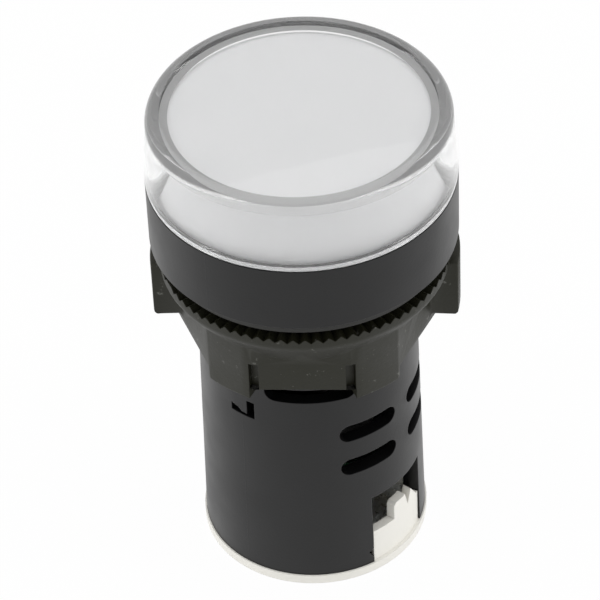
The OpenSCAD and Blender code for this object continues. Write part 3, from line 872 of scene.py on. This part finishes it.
class PILOT_OT_solder(bpy.types.Operator):
    """Solder joints and the bent legs of the capacitor can and the rectifier"""

    bl_idname = "pilot.solder"
    bl_label = "Solder joints and legs"

    HALF_PITCH = 1.25 * MM  # half the distance between the two legs of a component

    def execute(self, context):
        size = sizes()
        # copper wire dipped in tin: the same pale silver as the pins
        tinned = metal("tinned_copper_wire", "#cfd0cd", 0.28, 0.3)
        self.join("component_legs", self.legs(size), tinned)
        # solder set from the melt: the brightest metal on the board, with a smooth wet look
        solder = metal("tin_solder", "#bfc1c2", 0.2, 0.8)
        self.join("solder_joints", self.joints(size), solder)
        return {"FINISHED"}

    def legs(self, size):
        """The two bent legs of the capacitor can and the four flat legs of the rectifier."""
        board_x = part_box("driver_board")[0].x
        can_low, can_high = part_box("smoothing_capacitor")
        chip_low, chip_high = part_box("bridge_rectifier")
        can_x, can_y = (can_low.x + can_high.x) / 2, (can_low.y + can_high.y) / 2
        chip_x, chip_z = (chip_low.x + chip_high.x) / 2, (chip_low.z + chip_high.z) / 2
        legs = []
        for side in (-1, 1):
            foot = Vector((can_x, can_y + side * self.HALF_PITCH, can_low.z))
            legs.append(self.can_leg(size, board_x, foot))
        for side in (-1, 1):
            for up in (-1, 1):
                edge = chip_high.y if side > 0 else chip_low.y
                height = chip_z + up * self.HALF_PITCH
                legs.append(self.wing(size, board_x, chip_x, edge, side, height))
        return legs

    def joints(self, size):
        """A solder joint on each face of the driver board where a leg or a lead comes through."""
        can_drop, film_rise, lead_inset = 1.6 * MM, 0.7 * MM, 0.3 * MM
        step = self.HALF_PITCH
        board_low, board_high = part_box("driver_board")
        can_low, can_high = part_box("smoothing_capacitor")
        film_low, film_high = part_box("film_capacitor")
        can_y = (can_low.y + can_high.y) / 2
        spots = [(board_high.x, can_y + side * step, can_low.z - can_drop, 1) for side in (-1, 1)]
        for y in (film_low.y + step, film_high.y - step):
            spots.append((board_low.x, y, film_low.z + film_rise, -1))
        for name, face in (("bleed_resistor", board_high.x), ("limiting_resistor", board_low.x)):
            lead_low, lead_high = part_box(name)
            side = 1 if face > 0 else -1
            for y in (lead_low.y + lead_inset, lead_high.y - lead_inset):
                spots.append((face, y, (lead_low.z + lead_high.z) / 2, side))
        first = self.joint(size)
        joints = []
        for x, y, z, side in spots:
            bpy.ops.object.select_all(action="DESELECT")
            first.select_set(True)
            bpy.context.view_layer.objects.active = first
            bpy.ops.object.duplicate()
            joint = bpy.context.object
            joint.rotation_euler = (0, side * math.pi / 2, 0)
            joint.location = (x, y, z)
            bpy.ops.object.transform_apply(location=True, rotation=True, scale=True)
            joints.append(joint)
        bpy.data.objects.remove(first)
        return joints

    def join(self, name, parts, material):
        """Joins repeated parts into one piece that stays on the board."""
        bpy.ops.object.select_all(action="DESELECT")
        for part in parts:
            part.select_set(True)
        bpy.context.view_layer.objects.active = parts[0]
        bpy.ops.object.join()
        piece = bpy.context.object
        piece.name = name
        piece.data.name = name
        bpy.ops.object.mode_set(mode="EDIT")
        finish_piece(piece, "body", material)

    def joint(self, size):
        """A solder fillet that draws in to the cut end of a wire."""
        half = size.solder_width / 2
        foot = 0.1 * MM
        # the rise of each ring in millimetres, and its width against the ring below
        rings = ((0.15, 0.72), (0.2, 0.7), (0.25, 0.75), (0.3, 0.95))
        joint = start(
            bpy.ops.mesh.primitive_cylinder_add, "joint", vertices=20, radius=half, depth=foot,
            location=(0, 0, foot / 2),
        )
        choose("faces", is_level_at(foot))
        for height, factor in rings:
            raise_by(height * MM)
            scale_flat(factor)
        bpy.ops.object.mode_set(mode="OBJECT")
        return joint

    def can_leg(self, size, board_x, foot):
        """A leg that runs down from the can and bends in to the board."""
        straight, bend = 1 * MM, 0.6 * MM
        leg = start(
            bpy.ops.mesh.primitive_circle_add, "can_leg", vertices=12, radius=size.leg_width / 2,
            fill_type="NGON", location=foot,
        )
        choose("faces", lambda face: True)
        raise_by(-straight)
        bpy.ops.mesh.spin(
            steps=6, angle=math.pi / 2, center=(foot.x + bend, foot.y, foot.z - straight), axis=(0, -1, 0)
        )
        reach = board_x - foot.x - bend
        extrude_by(reach, 0, 0)
        bpy.ops.mesh.select_all(action="SELECT")
        bpy.ops.mesh.normals_make_consistent(inside=False)
        bpy.ops.object.mode_set(mode="OBJECT")
        return leg

    def wing(self, size, board_x, chip_x, edge, side, height):
        """A flat leg that leaves the side of the rectifier and steps down to the board."""
        thick, root, slope, foot = 0.2 * MM, 0.3 * MM, 0.35 * MM, 0.5 * MM
        leg = start(
            bpy.ops.mesh.primitive_cube_add, "wing", size=1, scale=(thick, root, size.leg_width),
            location=(chip_x, edge + side * root / 2, height),
        )
        choose("faces", lambda face: face.normal.y * side > 0.9)
        drop = board_x - thick / 2 - chip_x
        extrude_by(drop, side * slope, 0)
        extrude_by(0, side * foot, 0)
        bpy.ops.object.mode_set(mode="OBJECT")
        return leg


class PILOT_PT_sidebar(bpy.types.Panel):
    """Lists the pieces of the pilot light"""

    bl_idname = "PILOT_PT_sidebar"
    bl_label = "Pilot light"
    bl_space_type = "VIEW_3D"
    bl_region_type = "UI"
    bl_category = "Pilot light"

    def draw(self, context):
        layout = self.layout
        for group in (context.scene.pilot_sizes, context.scene.pilot_colours, context.scene.pilot_light):
            box = layout.box()
            for name in group.bl_rna.properties.keys():
                if name not in ("rna_type", "name"):
                    box.prop(group, name)
        for operator in OPERATORS:
            layout.operator(operator.bl_idname)


GROUPS = {
    "pilot_sizes": PILOT_PG_sizes,
    "pilot_colours": PILOT_PG_colours,
    "pilot_light": PILOT_PG_light,
}
OPERATORS = (
    PILOT_OT_stage,
    PILOT_OT_housing,
    PILOT_OT_lens,
    PILOT_OT_diffuser,
    PILOT_OT_nut,
    PILOT_OT_terminals,
    PILOT_OT_electronics,
    PILOT_OT_solder,
)


def register():
    """Registers the classes and adds their settings to the scene."""
    for group in (*GROUPS.values(), *OPERATORS, PILOT_PT_sidebar):
        bpy.utils.register_class(group)
    for name, group in GROUPS.items():
        setattr(bpy.types.Scene, name, bpy.props.PointerProperty(type=group))


def unregister():
    """Takes the settings and the classes away again."""
    for name in GROUPS:
        delattr(bpy.types.Scene, name)
    for group in (PILOT_PT_sidebar, *reversed(OPERATORS), *GROUPS.values()):
        bpy.utils.unregister_class(group)


def main():
    """Builds everything in order."""
    register()
    for operator in OPERATORS:
        category, name = operator.bl_idname.split(".")
        getattr(getattr(bpy.ops, category), name)()


if __name__ == "__main__":
    main()
